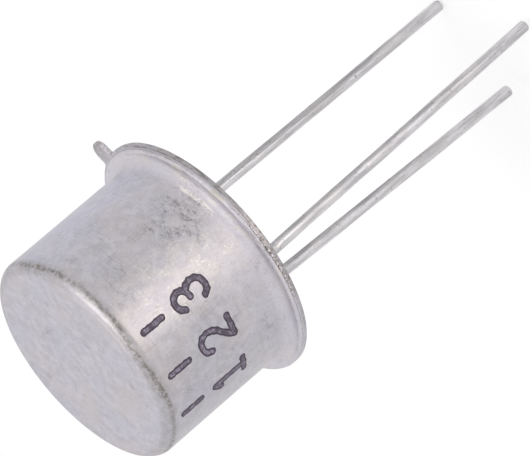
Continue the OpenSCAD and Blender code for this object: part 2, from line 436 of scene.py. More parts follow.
def satin_nickel(name, colour, tarnish, weld=None):
    """Satin nickel plate on drawn steel, worn and stained where it is painted so, and carrying
    painted highlights and painted shade.

    Its attributes give stain; a darker line along the top corner, partly painted shade; paler
    plate with painted light; painted highlight streaks and grime on the sweep; painted
    highlight patches; a painted highlight line; and the place along the rim. A piece with a
    weld colour also has painted shade with dark streaks on the rim edge, and scorch.
    """
    f = Finish(name)
    stain, pale, rubbed = f.attribute("stain"), f.attribute("pale"), f.attribute("rubbed")
    # the plate itself, mottled light and dark, warm and cool
    cloud = f.noise(1.5 * MM, 3, 0.5)
    mottle = f.noise(0.34 * MM, 5, 0.62)
    grain = f.noise(0.06 * MM, 3, 0.6)
    swirl = f.noise(0.75 * MM, 4, 0.6, stretch=(1.8, 1, 1), turn=(0, 0, 35))
    f.shade(mottle, colour, 0.89, 1.1, 0.36, 0.64)
    f.over(f.ramp(swirl, 0.34, 0.52, 0.3, 0), tint(colour, 0.82))
    f.over(f.ramp(cloud, 0.5, 0.66, 0, 0.55), tint(colour, 1.05, 1.0, 0.93))
    f.over(f.ramp(cloud, 0.34, 0.48, 0.45, 0), tint(colour, 0.955, 0.965, 1.03))
    # paler coined plate on the rim and the sweep, and painted light at the front of the rim's
    # foot, the low wall and on the tab
    f.over(f.times(pale, 0.8), tint(colour, 1.5))
    # painted highlight streaks in buff along the sweep, and brown streaks of grime
    rim = f.rim_place()
    streaks = f.noise(0.15 * MM, 4, 0.7, stretch=(7, 1, 1), place=rim)
    rolled = f.attribute("rolled")
    buff = f.times(rolled, f.ramp(f.noise(0.6 * MM, 3, 0.6), 0.44, 0.6, 0.1, 1))
    f.over(f.times(buff, f.ramp(streaks, 0.42, 0.54, 0.2, 0.9)), BUFF)
    f.over(f.times(rolled, f.ramp(streaks, 0.36, 0.46, 0.5, 0)), GRIME)
    # painted highlight patches with darker gaps and a few painted sparks, on the front of the
    # wall, and a painted highlight line
    chips = f.noise(0.42 * MM, 3, 0.45, turn=(0, 0, 20), stretch=(1, 1, 1.4))
    chips = f.ramp(chips, 0.48, 0.55)
    f.over(f.times(rubbed, chips, 0.2), RUBBED)
    gaps = f.ramp(f.noise(0.3 * MM, 4, 0.6), 0.36, 0.46, 0.16, 0)
    f.over(f.times(rubbed, gaps), GAPS)
    sparks = f.times(chips, f.ramp(f.noise(0.12 * MM, 4, 0.75), 0.57, 0.63))
    f.over(f.times(rubbed, sparks, 0.42), SPARKS)
    glint = f.noise(0.1 * MM, 4, 0.7, stretch=(5, 1, 1), place=rim)
    glint = f.times(f.attribute("glint"), f.ramp(glint, 0.4, 0.52), 0.85)
    # painted highlight: a bright line along the foot of the wall and the top corner
    f.over(glint, BURNISHED)
    f.over(f.ramp(grain, 0.3, 0.7, 0.2, 0), GRAIN)
    # draw marks run along the can, turning marks round it, handling marks askew
    drawn = f.ramp(f.noise(0.05 * MM, 2, 0.5, stretch=(1, 1, 16)), 0.6, 0.68)
    turned = f.ramp(f.noise(0.045 * MM, 2, 0.5, stretch=(22, 22, 1)), 0.62, 0.69)
    askew = f.noise(0.06 * MM, 2, 0.5, stretch=(1, 1, 14), turn=(38, 24, 0))
    marks = f.math("MAXIMUM", f.math("MAXIMUM", drawn, turned), f.ramp(askew, 0.64, 0.7))
    worn = f.times(marks, f.ramp(f.noise(0.8 * MM, 3, 0.6), 0.42, 0.62))
    f.over(f.times(worn, 0.38), SCRATCH)
    # stains: black specks in ragged patches, a grey veil and a chalky bloom
    patchy = f.times(stain, f.ramp(f.noise(0.55 * MM, 3, 0.6), 0.36, 0.58, 0.1, 1.3))
    fleck = f.ramp(f.noise(0.13 * MM, 5, 0.75, stretch=(1.9, 1.9, 1)), 0.49, 0.57)
    crumb = f.ramp(f.noise(0.055 * MM, 3, 0.7), 0.42, 0.54)
    speckle = f.times(fleck, crumb, patchy)
    f.over(f.math("MINIMUM", f.times(speckle, 0.62), 0.7), SPECK)
    f.over(f.times(patchy, f.ramp(mottle, 0.4, 0.6, 0.06, 0.36)), VEIL)
    chalk = f.noise(0.11 * MM, 4, 0.7, turn=(0, 0, 30), stretch=(1, 1, 1.6))
    f.over(f.times(f.ramp(chalk, 0.57, 0.63), stain, 0.3), CHALK)
    ragged = f.ramp(f.noise(0.13 * MM, 5, 0.7), 0.36, 0.6, 0.15, 1.0)
    # darker line along the top corner and the tab's end; along the corner partly painted shade
    f.over(f.times(f.attribute("tarnish"), ragged), tarnish)
    if weld:
        smear = f.attribute("smear")
        lines = f.noise(0.09 * MM, 4, 0.65, stretch=(4.5, 1, 1), place=rim)
        grit = f.ramp(f.noise(0.12 * MM, 4, 0.7), 0.44, 0.6)
        # painted shade on the outer edge of the rims, with dark streaks along it
        f.over(f.ramp(smear, 0.5, 1.15, 0, 0.34), SHADE)
        f.over(f.times(smear, f.ramp(lines, 0.44, 0.58), 0.68), SMEAR)
        f.over(f.times(f.attribute("scorch"), grit), weld)
    relief = f.bump(cloud, 0.03 * MM)
    for height, depth in ((mottle, 0.006), (grain, 0.0016), (worn, -0.0012), (speckle, -0.003)):
        relief = f.bump(height, depth * MM, relief)
    satin = f.math("ADD", f.ramp(mottle, 0.3, 0.7, 0.34, 0.46), f.times(pale, 0.24))
    return f.done(satin, relief, Metallic=1.0)


def tinned_wire(name, colour):
    """Dipped tin: bright, lightly streaked along the wire, with fine nicks."""
    f = Finish(name)
    streak = f.noise(0.14 * MM, 4, 0.6, stretch=(1, 1, 10))
    patch = f.noise(0.9 * MM, 3, 0.5)
    nick = f.ramp(f.noise(0.14 * MM, 3, 0.6), 0.63, 0.68)
    f.shade(streak, colour, 0.78, 1.12)
    f.over(f.ramp(patch, 0.45, 0.65, 0, 0.3), tint(colour, 1.0, 0.98, 0.93))
    f.over(f.times(nick, 0.55), NICKED)
    relief = f.bump(streak, 0.008 * MM)
    relief = f.bump(f.noise(0.05 * MM, 2), 0.001 * MM, relief)
    polish = f.ramp(patch, 0.3, 0.7, 0.2, 0.32)
    return f.done(polish, relief, Metallic=1.0)


def weld_metal(name, colour, nickel):
    """Squeezed-out weld metal: bright granules, scorched brown between them."""
    f = Finish(name)
    grit = f.noise(0.1 * MM, 4, 0.7)
    scorch = f.attribute("scorch")
    granules = f.mix(f.ramp(grit, 0.4, 0.62), colour, tint(nickel, 1.35))
    f.tone = f.mix(scorch, nickel, granules)
    black = f.times(f.ramp(f.noise(0.16 * MM, 3, 0.6), 0.58, 0.66), scorch)
    f.over(black, SOOT)
    polish = f.ramp(grit, 0.3, 0.7, 0.5, 0.25)
    return f.done(polish, f.bump(grit, 0.02 * MM), Metallic=1.0)


def sealing_glass(name, colour):
    """Dark matched sealing glass with a fire-polished skin and a few seeds in it."""
    f = Finish(name)
    swirl = f.noise(0.7 * MM, 3, 0.5)
    seed = f.ramp(f.noise(0.13 * MM, 2, 0.4), 0.68, 0.74)
    f.shade(swirl, colour, 0.75, 1.5)
    f.over(f.times(seed, 0.6), SEED)
    relief = f.bump(seed, -0.004 * MM, f.bump(swirl, 0.02 * MM))
    polish = f.ramp(swirl, 0.3, 0.7, 0.08, 0.2)
    return f.done(polish, relief, Coat_Weight=0.6, Coat_Roughness=0.05, IOR=1.52)


def polished_silicon(name, colour):
    """Silicon under its thin oxide: dark and smooth, with a faint haze."""
    f = Finish(name)
    haze = f.noise(0.12 * MM, 3)
    f.shade(haze, colour, 0.85, 1.2)
    polish = f.ramp(haze, 0.3, 0.7, 0.08, 0.2)
    return f.done(polish, f.bump(haze, 0.0004 * MM), Metallic=0.4)


def soft_metal(name, colour, size):
    """Evaporated, drawn or melted metal with a fine surface of that size."""
    f = Finish(name)
    skin = f.noise(size, 4, 0.6)
    f.shade(skin, colour, 0.88, 1.08)
    polish = f.ramp(skin, 0.3, 0.7, 0.2, 0.38)
    return f.done(polish, f.bump(skin, size * 0.06), Metallic=1.0)


def stamped_ink(name, colour):
    """Rubber-stamped ink: dense along the edge of a stroke, thin and mottled inside it."""
    f = Finish(name)
    blot = f.noise(0.09 * MM, 4, 0.65)
    worn = f.ramp(f.noise(0.3 * MM, 3, 0.6), 0.4, 0.6, 0.35, 1.0)
    inside = f.ramp(f.attribute("depth"), 0.24, 0.68)
    thin = f.times(inside, f.ramp(blot, 0.4, 0.58, 0.2, 1.0), worn)
    f.tone = f.mix(thin, colour, tuple(c * 4 + 0.16 for c in colour))
    polish = f.ramp(blot, 0.3, 0.7, 0.45, 0.65)
    return f.done(polish, f.bump(blot, 0.002 * MM))


# Can

WALL_MIDDLE = 3.2 * MM
UNEVEN = 0.006 * MM  # how far the drawn wall is off round

STAINS = (
    # angle in degrees, height and reach in mm, and strength of each speckled patch
    (-81, 1.5, 0.75, 1.0),
    (-74, 2.4, 0.75, 0.8),
    (-66, 1.4, 0.6, 0.6),
    (-79, 4.6, 0.7, 0.55),
    (-90, 5.1, 0.6, 0.5),
    (-96, 1.5, 0.5, 0.5),
    (-56, 5.3, 0.4, 0.6),
    (-48, 3.6, 0.6, 0.25),
    (-40, 1.2, 0.8, 0.35),
    (-112, 3.2, 0.8, 0.3),
    (-152, 1.4, 0.9, 0.35),
    (-76, 0.8, 0.38, 0.9),
    (-66, 1.0, 0.4, 0.6),
    (-118, 0.4, 0.4, 0.5),
    (75, 3.0, 1.3, 0.5),
    (120, 4.4, 1.0, 0.4),
)

TOP_STAINS = (
    # x, y and reach in mm, and strength of each speckled patch on the closed top
    (1.5, 0.1, 0.55, 0.55),
    (2.4, -0.8, 0.5, 0.3),
    (-0.3, 3.2, 0.35, 0.7),
    (-2.2, -1.5, 0.9, 0.25),
    (0.4, -2.6, 0.8, 0.2),
    (-1.6, 1.9, 0.8, 0.2),
)

TARNISH = (
    # angle in degrees, tilt of the dark line up the corner, and its strength, set heavier at
    # the front where the line is painted shade narrowing the corner highlight
    (-180, 22, 0.5),
    (-150, 16, 0.45),
    (-133, 22, 0.95),
    (-120, 38, 0.6),
    (-110, 42, 0.6),
    (-100, 30, 0.7),
    (-90, 24, 0.6),
    (-80, 20, 0.65),
    (-70, 18, 0.35),
    (-60, 24, 0.6),
    (-48, 28, 0.8),
    (-36, 34, 0.7),
    (-22, 26, 0.4),
    (30, 20, 0.5),
    (100, 26, 0.7),
    (180, 22, 0.5),
)


def can_profile(s):
    """Section of the can, from the middle of its top round the outside and back inside."""
    radius, top, rim_r = CAN_RADIUS, CAN_TOP, CAP_RIM_RADIUS
    base = BOXES["cap"][0].z
    rim_top = base + s.rim
    sweep = min(s.sweep, rim_r - radius - s.rim_edge)
    inner_r, inner_top = radius - s.wall, top - s.wall
    inner_corner = s.corner - s.wall / 2
    bend = 0.35 * MM
    flat_r = radius - s.corner
    outside = [(0.0, top)]
    outside += between((0, top), (flat_r, top), 44)
    outside += arc((flat_r, top - s.corner), s.corner, 90, 0, 22)
    outside += between((radius, top - s.corner), (radius, rim_top + sweep), 70)
    outside += arc((radius + sweep, rim_top + sweep), sweep, 180, 270, 16)
    outside += between((radius + sweep, rim_top), (rim_r - s.rim_edge, rim_top), 3)
    outside += arc((rim_r - s.rim_edge, rim_top - s.rim_edge), s.rim_edge, 90, 0, 8)
    outside += [(rim_r, base)]
    inside = between((rim_r, base), (inner_r + bend, base), 6)
    inside += arc((inner_r + bend, base + bend), bend, 270, 180, 8)
    inside += between((inner_r, base + bend), (inner_r, inner_top - inner_corner), 16)
    corner_middle = (inner_r - inner_corner, inner_top - inner_corner)
    inside += arc(corner_middle, inner_corner, 0, 90, 8)
    inside += between((inner_r - inner_corner, inner_top), (0, inner_top), 10)
    inside += [(0.0, inner_top)]
    return outside + inside


def can_surface(s, r, z, angle):
    """A point of the can's section turned to angle, slightly uneven as a drawn cup is."""
    x, y = CAN_AXIS
    if z > CAN_TOP - s.corner:
        z -= s.dish * fade(r, 0.0, CAN_RADIUS * 0.98)
    wave = noise.noise(Vector((math.cos(angle), math.sin(angle), z / MM * 0.25)) * 1.7)
    on_wall = fade(abs(z - WALL_MIDDLE), 2.0 * MM, 2.9 * MM)
    r += UNEVEN * wave * on_wall
    return Vector((x + r * math.cos(angle), y + r * math.sin(angle), z))


class OBJECT_OT_can(bpy.types.Operator):
    """Makes the drawn and plated can"""

    bl_idname = "transistor.can"
    bl_label = "Can"

    def execute(self, context):
        s = context.scene.can_settings
        loops = [
            [can_surface(s, r, z, turn) for turn in turns(s.segments if r > 0.0 else 1)]
            for r, z in can_profile(s)
        ]
        piece = loft("can_shell", loops)
        crease(piece, 50)
        paint(
            piece,
            stain=stain_at,
            tarnish=lambda p: tarnish_at(p, s.corner),
            pale=pale_at,
            rolled=rolled_at,
            along=along_rim,
            glint=glint_at,
            rubbed=rubbed_at,
        )
        material = satin_nickel("satin_nickel_can", s.nickel, s.tarnish)
        finish_piece(piece, material, "can", "cap")
        return {"FINISHED"}


def stain_at(point):
    """How stained the plate is at a point, from 0 to 1."""
    if point.z > CAN_TOP - 0.1 * MM:
        patches = [(point.x - x * MM, point.y - y * MM, *rest) for x, y, *rest in TOP_STAINS]
    else:
        angle = around(point, CAN_AXIS)
        patches = [
            (math.radians(turn_between(angle, turn)) * CAN_RADIUS, point.z - height * MM, *rest)
            for turn, height, *rest in STAINS
        ]
    total = 0.0
    for across, up, reach, strength in patches:
        away = math.hypot(across, up)
        total += strength * fade(away, reach * MM * 0.2, reach * MM * 1.4)
    return min(total, 1.0)


def pale_at(point):
    """How much paler the plate is at a point of the rim, the sweep and the low wall: a paler
    coined plate on the rim and the sweep, and painted light at the front of the rim's foot and
    of the low wall.
    """
    front = fade(aside(point, -100), 22, 50)
    low = 0.7 * front - 0.2 * (1 - front)
    total = 0.68 * fade(point.z, 0.55 * MM, 1.2 * MM) + low * fade(point.z, 0.16 * MM, 0.4 * MM)
    side = fade(aside(point, -105), 45, 75)
    return total + 0.22 * side * fade(abs(point.z - 1.5 * MM), 0.3 * MM, 0.9 * MM)


def rolled_at(point):
    """How strongly the sweep is streaked at a point with painted highlight and brown grime,
    most at the front.
    """
    front = fade(aside(point, -84), 26, 60)
    return (0.3 + 0.7 * front) * fade(point.z, 0.3 * MM, 0.54 * MM)


def rubbed_at(point):
    """How strongly the front of the wall carries painted highlight patches at a point."""
    front = fade(aside(point, -97, CAN_AXIS), 9, 24)
    return front * fade(abs(point.z - 2.9 * MM), 1.6 * MM, 2.7 * MM)


def glint_at(point):
    """How strong the painted highlight is at a point, in a thin line along the foot of the wall
    and along its top corner.
    """
    wander = 0.02 * MM * noise.noise(Vector((point.x, point.y, 0)) / (0.4 * MM))
    foot = fade(aside(point, -74, CAN_AXIS), 7, 14)
    foot *= fade(abs(point.z - 0.62 * MM - wander), 0.04 * MM, 0.11 * MM)
    below = CAN_TOP - point.z
    corner = fade(aside(point, -92, CAN_AXIS), 16, 34)
    corner *= fade(abs(below - 0.16 * MM - wander), 0.02 * MM, 0.1 * MM)
    return max(foot, 0.32 * corner)


def tarnish_at(point, corner):
    """How dark the plate is painted along the corner of the closed top: a ragged dark line,
    heavier at the front where painted shade narrows the corner highlight, and painted shade
    high on the corner away from the front.
    """
    r = math.hypot(point.x - CAN_AXIS[0], point.y - CAN_AXIS[1])
    out, up = r - (CAN_RADIUS - corner), point.z - (CAN_TOP - corner)
    if out < 0.0 or up < -0.25 * MM:
        return 0.0
    angle = around(point, CAN_AXIS)
    for (a, tilt_a, force_a), (b, tilt_b, force_b) in zip(TARNISH, TARNISH[1:]):
        if a <= angle <= b:
            t = (angle - a) / (b - a)
            middle = tilt_a + t * (tilt_b - tilt_a)
            force = force_a + t * (force_b - force_a)
    tilt = math.degrees(math.atan2(up, max(out, 1e-9)))
    wander = 9 * noise.noise(Vector((point.x, point.y, 0)) / (0.6 * MM))
    away = abs(tilt - middle - wander)
    line = force * fade(away, 3, 17) + 0.4 * force * fade(away, 10, 44)
    beside = 1 - fade(abs(turn_between(angle, -90)), 14, 26)
    # painted shade high on the corner, left out at the front
    shoulder = 0.2 * fade(abs(tilt - 68), 8, 24) * beside
    return min(line + shoulder, 1.0)


# Header

TAB_SIDE = 0.41 * MM  # from the tab's middle
TAB_END = 5.42 * MM
RIM_INSIDE = 4.55 * MM  # the rims' outer edge lies beyond this
RIM_ABOVE = 0.4 * MM  # and below this
SCORCHED = -118  # where along the rims the weld scorched them, in degrees
BEAD_STANDS_OUT = 0.012 * MM
BEAD_STEPS, BEAD_SIDES = 900, 12


def header_outline(s):
    """Outline of the rim and its index tab, seen from above, anticlockwise."""
    high = BOXES["header"][1]
    rim_r, half = HEADER_RADIUS, s.tab_width / 2
    end_x = high.x - half
    fillet = s.tab_fillet
    root_x = math.sqrt((rim_r + fillet) ** 2 - (half + fillet) ** 2)
    foot = math.degrees(math.atan2(half + fillet, root_x))
    tab = arc((end_x, 0), half, -90, 90, 28)
    tab += between((end_x, half), (root_x, half), 5)
    tab += arc((root_x, half + fillet), fillet, -90, foot - 180, 8)
    rim = arc((0, 0), rim_r, foot, 360 - foot, 340)[1:-1]
    back = arc((root_x, -half - fillet), fillet, 180 - foot, 90, 8)
    back += between((root_x, -half), (end_x, -half), 5)
    return tab + rim + back


def inset(outline, by):
    """The outline moved in by a distance along its own normals."""
    moved = []
    count = len(outline)
    for i, (x, y) in enumerate(outline):
        before, after = outline[i - 1], outline[(i + 1) % count]
        along = Vector((after[0] - before[0], after[1] - before[1])).normalized()
        moved.append((x - along.y * by, y + along.x * by))
    return moved


def header_loops(s):
    """Loops of the header from the middle of its platform round the outside and up inside."""
    outline = header_outline(s)
    angles = [math.atan2(y, x) for x, y in outline]

    def circle(r, z):
        """A ring of that radius at height z."""
        return [Vector((r * math.cos(a), r * math.sin(a), z)) for a in angles]

    def rim(by, z):
        """The outline moved in by a distance, at height z."""
        return [Vector((x, y, z)) for x, y in inset(outline, by)]

    top = BOXES["header"][1].z
    corner, foot, mouth, inner_corner = 0.32 * MM, 0.1 * MM, 0.26 * MM, 0.14 * MM
    inner_r, inner_top = s.eyelet - s.sheet, top - s.sheet
    corner_middle = (inner_r - inner_corner, inner_top - inner_corner)
    rounded = [
        (s.edge * (1 - math.cos(math.radians(t))), s.edge * (1 - math.sin(math.radians(t))))
        for t in (0, 30, 60, 90)
    ]
    loops = [[Vector((0, 0, top))]]
    loops += [circle(r * MM, top) for r in (0.6, 1.2, 1.8, 2.4, 2.9)]
    loops += [circle(*p) for p in arc((s.eyelet - corner, top - corner), corner, 90, 0, 10)]
    loops += [circle(*p) for p in arc((s.eyelet + foot, s.rim + foot), foot, 180, 270, 6)]
    loops += [circle(r * MM, s.rim) for r in (3.9, 4.2, 4.45)]
    loops += [rim(by, s.rim - drop) for by, drop in reversed(rounded)]
    loops.append(rim(0, s.rim * 0.5))
    loops += [rim(by, rise) for by, rise in rounded]
    loops += [circle(r * MM, 0) for r in (4.4, 4.0)]
    loops += [circle(*p) for p in arc((inner_r + mouth, mouth), mouth, 270, 180, 10)]
    loops += [circle(*p) for p in arc(corner_middle, inner_corner, 0, 90, 6)]
    loops += [circle(r * MM, inner_top) for r in (2.6, 1.9, 1.2, 0.6)]
    loops.append([Vector((0, 0, inner_top))])
    return loops


class OBJECT_OT_header(bpy.types.Operator):
    """Makes the stamped header and its index tab"""

    bl_idname = "transistor.header"
    bl_label = "Header"

    def execute(self, context):
        s, can = context.scene.header_settings, context.scene.can_settings
        piece = loft("header_eyelet", header_loops(s))
        for name in LEADS[:2]:
            punch(piece, lead_point(name, 0.0), s.seal_hole)
        crease(piece, 50)
        paint(
            piece,
            stain=lambda p: 0.35 * fade(aside(p, -85), 20, 70),
            pale=tab_pale_at,
            tarnish=tab_tarnish_at,
            rolled=nowhere,
            glint=nowhere,
            rubbed=nowhere,
            scorch=scorch_at,
            smear=smear_at,
            along=along_rim,
        )
        material = satin_nickel("satin_nickel_header", can.nickel, can.tarnish, s.weld)
        finish_piece(piece, material, "header", "header")
        return {"FINISHED"}


def punch(piece, place, radius):
    """Cuts a round hole up through a piece."""
    mesh = bmesh.new()
    middle = Matrix.Translation((place.x, place.y, 1.7 * MM))
    size = {"radius1": radius, "radius2": radius, "depth": 2 * MM}
    bmesh.ops.create_cone(mesh, cap_ends=True, segments=64, matrix=middle, **size)
    cutter = as_object("cutter", mesh)
    cut = piece.modifiers.new("hole", "BOOLEAN")
    cut.operation, cut.solver, cut.object = "DIFFERENCE", "EXACT", cutter
    graph = bpy.context.evaluated_depsgraph_get()
    made = bpy.data.meshes.new_from_object(piece.evaluated_get(graph), depsgraph=graph)
    piece.modifiers.clear()
    piece.data = made
    bpy.data.objects.remove(cutter)


def along_rim(point):
    """Distance along the rim from its front, in metres."""
    return math.radians(turn_between(around(point), -90)) * HEADER_RADIUS


def on_rim(point):
    """Whether a point is on the outer edge of the rims."""
    return math.hypot(point.x, point.y) > RIM_INSIDE and point.z < RIM_ABOVE


def tab_pale_at(point):
    """How much painted light brightens the tab at a point, most of all along its sides."""
    side = fade(TAB_SIDE - abs(point.y), 0.02 * MM, 0.07 * MM)
    return (0.35 + 0.5 * side) * fade(5.0 * MM - point.x, 0.1 * MM, 0.35 * MM)


def tab_tarnish_at(point):
    """How dull the round end of the tab is at a point."""
    return 0.6 * fade(TAB_END - point.x, 0.08 * MM, 0.3 * MM)


def scorch_at(point):
    """How scorched the rims are at a point, from the weld."""
    return 0.08 + 0.92 * fade(aside(point, SCORCHED), 10, 26) if on_rim(point) else 0.0


def smear_at(point):
    """How strongly painted shade darkens the outer edge of the rims at a point, with dark
    streaks along it, most between the front and the tab.
    """
    return 0.45 + 0.7 * fade(aside(point, -58), 26, 50) if on_rim(point) else 0.0


class OBJECT_OT_weld(bpy.types.Operator):
    """Makes the bead of weld metal in the step between the two rims"""

    bl_idname = "transistor.weld"
    bl_label = "Weld bead"

    def execute(self, context):
        s, can = context.scene.header_settings, context.scene.can_settings
        middle = CAP_RIM_RADIUS + BEAD_STANDS_OUT
        x, y = CAN_AXIS
        loops = []
        for turn in turns(BEAD_SIDES):
            loop = []
            for a in turns(BEAD_STEPS):
                rough = fade(abs(turn_between(math.degrees(a), SCORCHED)), 10, 30)
                at = Vector((math.cos(a), math.sin(a), 0.15 * math.sin(turn))) * middle
                lumps = noise.noise(at / (0.11 * MM)) + 0.6 * noise.noise(at / (0.05 * MM))
                size = s.bead * (0.75 + 0.35 * rough + (0.1 + 0.75 * rough) * lumps)
                size = max(size, 0.2 * s.bead)
                r = middle + size * math.cos(turn)
                point = Vector((x + r * math.cos(a), y + r * math.sin(a)))
                point *= min(1.0, HEADER_RADIUS / point.length)
                loop.append((point.x, point.y, s.rim + size * math.sin(turn)))
            loops.append(loop)
        piece = loft("weld_bead", loops)
        paint(piece, scorch=scorch_at)
        material = weld_metal("weld_metal", s.weld, can.nickel)
        finish_piece(piece, material, "header")
        return {"FINISHED"}


# Leads

TINNED_FROM = 0.7 * MM  # below the seating plane, where the tin has its full thickness
BARE_ABOVE = 0.1 * MM  # below the seating plane, where the tin has run out
TIN = 0.01 * MM
TIN_WAVES = 0.006 * MM  # how far the tin is off round
NICK = 0.025 * MM  # depth of the hardest nick
WIRE_SIDES = 36

NICKS = {
    # for each lead: depth down it in mm, side in degrees, and how hard it was nicked
    "emitter": ((1.4, -70, 0.6), (4.55, -82, 1.0), (10.6, -130, 0.5)),
    "base": ((1.6, -90, 0.7), (5.6, -100, 0.6), (11.4, -60, 0.6)),
    "collector": ((1.1, -80, 0.9), (5.6, -105, 0.8), (12.5, -88, 1.0)),
}


def lead_point(name, z):
    """The point of a lead's axis at height z."""
    mount = MOUNTS[name + "_pin"]
    start, up = Vector(mount["pos_m"]), -Vector(mount["axis"])
    return start + up * ((z - start.z) / up.z)


def lead_profile(name, s):
    """(height above the seating plane, radius) down a lead from its top, in metres."""
    low, high = BOXES[name + "_lead"]
    full, core = LEAD_RADIUS, LEAD_RADIUS - TIN
    if name != "collector":
        head = s.post_head / 2
        stations = [(high.z, head * 0.96), (high.z - 0.015 * MM, head)]
        stations += [(high.z - 0.085 * MM, head), (high.z - 0.1 * MM, head * 0.97)]
        stations += [(high.z - 0.18 * MM, core)]
        start = high.z - 0.22 * MM
    else:
        stations = [(high.z, core)]
        start = high.z - 0.05 * MM
    stations += [(start - (start + BARE_ABOVE) * i / 8, core) for i in range(9)]
    taper = TINNED_FROM - BARE_ABOVE
    stations += [(-BARE_ABOVE - taper * i / 6, core + TIN * i / 6) for i in range(1, 7)]
    run_end = low.z + 0.09 * MM
    steps = 180
    stations += [
        (-TINNED_FROM + (run_end + TINNED_FROM) * i / steps, full) for i in range(1, steps + 1)
    ]
    rounding = 0.085 * MM
    for turn in (15, 35, 55, 75, 88):
        t = math.radians(turn)
        stations.append((run_end - rounding * math.sin(t), full - rounding * (1 - math.cos(t))))
    return stations


def wire_shape(name, depth, angle):
    """Change in radius of a wire at a depth and an angle: waves of tin and tool nicks."""
    seed = ord(name[0])
    round_it = (math.cos(angle) * 0.7, math.sin(angle) * 0.7)
    change = TIN_WAVES * noise.noise(Vector((*round_it, depth / MM * 0.8 + seed)))
    for down, side, force in NICKS[name]:
        near = fade(abs(depth / MM - down), 0.02, 0.16)
        facing = fade(abs(turn_between(math.degrees(angle), side)), 10, 55)
        change -= NICK * force * near * facing
    return change


def lead_wander(name, depth, s):
    """How far a wire is off its straight axis at a depth."""
    free = fade(depth, 12 * MM, 15 * MM) * fade(-depth, -1.0 * MM, 0.0)
    seed, slow = ord(name[0]), depth / MM * 0.25
    return Vector((
        s.waver * free * noise.noise(Vector((slow, seed, 0.5))),
        s.waver * free * noise.noise(Vector((slow, 0.5, seed))),
        0,
    ))


class OBJECT_OT_leads(bpy.types.Operator):
    """Makes the three tinned leads"""

    bl_idname = "transistor.leads"
    bl_label = "Leads"

    def execute(self, context):
        s = context.scene.lead_settings
        material = tinned_wire("tinned_wire", s.tin)
        for name in LEADS:
            profile = lead_profile(name, s)
            loops = [[lead_point(name, profile[0][0])]]
            for z, r in profile:
                middle = lead_point(name, z) + lead_wander(name, -z, s)
                loop = []
                for a in turns(WIRE_SIDES):
                    size = r + (wire_shape(name, -z, a) if -z > TINNED_FROM else 0.0)
                    loop.append(middle + Vector((size * math.cos(a), size * math.sin(a), 0)))
                loops.append(loop)
            loops.append([lead_point(name, profile[-1][0] - 0.004 * MM)])
            piece = loft(name + "_wire_lead", loops)
            crease(piece, 60)
            finish_piece(piece, material, "lead", name + "_lead")
        return {"FINISHED"}


# Glass and chip


class OBJECT_OT_glass(bpy.types.Operator):
    """Gives the sealing glass its dark, fire-polished skin"""

    bl_idname = "transistor.glass"
    bl_label = "Sealing glass"

    def execute(self, context):
        s = context.scene.glass_settings
        finish_node("glass_seal", sealing_glass("sealing_glass", s.colour))
        return {"FINISHED"}


def finish_node(node, material):
    """Gives a node of the solid model its finish."""
    set_material(frame["nodes"][node], material)


class OBJECT_OT_chip(bpy.types.Operator):
    """Finishes the chip, its preform, contacts and bond wires"""

    bl_idname = "transistor.chip"
    bl_label = "Chip and bond wires"

    def execute(self, context):
        s = context.scene.chip_settings
        finish_node("die", polished_silicon("polished_silicon", s.silicon))
        finish_node("die_attach", soft_metal("gold_preform", s.gold, 0.05 * MM))
        film = soft_metal("aluminium_film", s.aluminium, 0.012 * MM)
        wire = soft_metal("bond_wire", s.aluminium, 0.03 * MM)
        for side in ("emitter", "base"):
            finish_node(side + "_contact", film)
            finish_node(side + "_wire", wire)
        return {"FINISHED"}


# Legend

GLYPHS = {
    # strokes of each mark, as points in a box one wide and one high
    "1": [[(0.2, 0.8), (0.5, 1), (0.5, 0)], [(0.15, 0), (0.85, 0)]],
    "2": [
        [(0.06, 0.76), (0.14, 0.9), (0.3, 0.98), (0.5, 1), (0.72, 0.97), (0.88, 0.87),
         (0.94, 0.72), (0.88, 0.56), (0.7, 0.42), (0.4, 0.25), (0.18, 0.12), (0.06, 0),
         (0.96, 0)],
    ],
    "3": [
        [(0.08, 0.84), (0.2, 0.95), (0.4, 1), (0.62, 0.99), (0.8, 0.92), (0.89, 0.79),
         (0.84, 0.65), (0.68, 0.56), (0.4, 0.53)],
        [(0.68, 0.56), (0.86, 0.46), (0.95, 0.3), (0.89, 0.13), (0.72, 0.03), (0.45, 0),
         (0.2, 0.04), (0.06, 0.16)],
    ],
    "tick": [[(0.5, 0), (0.5, 0.62)]],
}

NUMBER_FOOT, TICK_FOOT = 2.5 * MM, 4.5 * MM
COLUMNS = (("1", -157.0), ("2", -132.0), ("3", -107.0))
LEGEND = (
    # mark, angle in degrees, and height of its foot
    *((number, angle, NUMBER_FOOT) for number, angle in COLUMNS),
    *(("tick", angle, TICK_FOOT) for _, angle in COLUMNS),
)
INK_RAGGED = 0.03 * MM  # how far a stroke's edge wanders
INK_CELL = 0.018 * MM


def stroke_distance(x, y, strokes):
    """Distance from a point to the nearest stroke."""
    nearest = math.inf
    for stroke in strokes:
        for (ax, ay), (bx, by) in zip(stroke, stroke[1:]):
            dx, dy = bx - ax, by - ay
            t = ((x - ax) * dx + (y - ay) * dy) / (dx * dx + dy * dy)
            t = min(max(t, 0.0), 1.0)
            nearest = min(nearest, math.hypot(x - ax - t * dx, y - ay - t * dy))
    return nearest


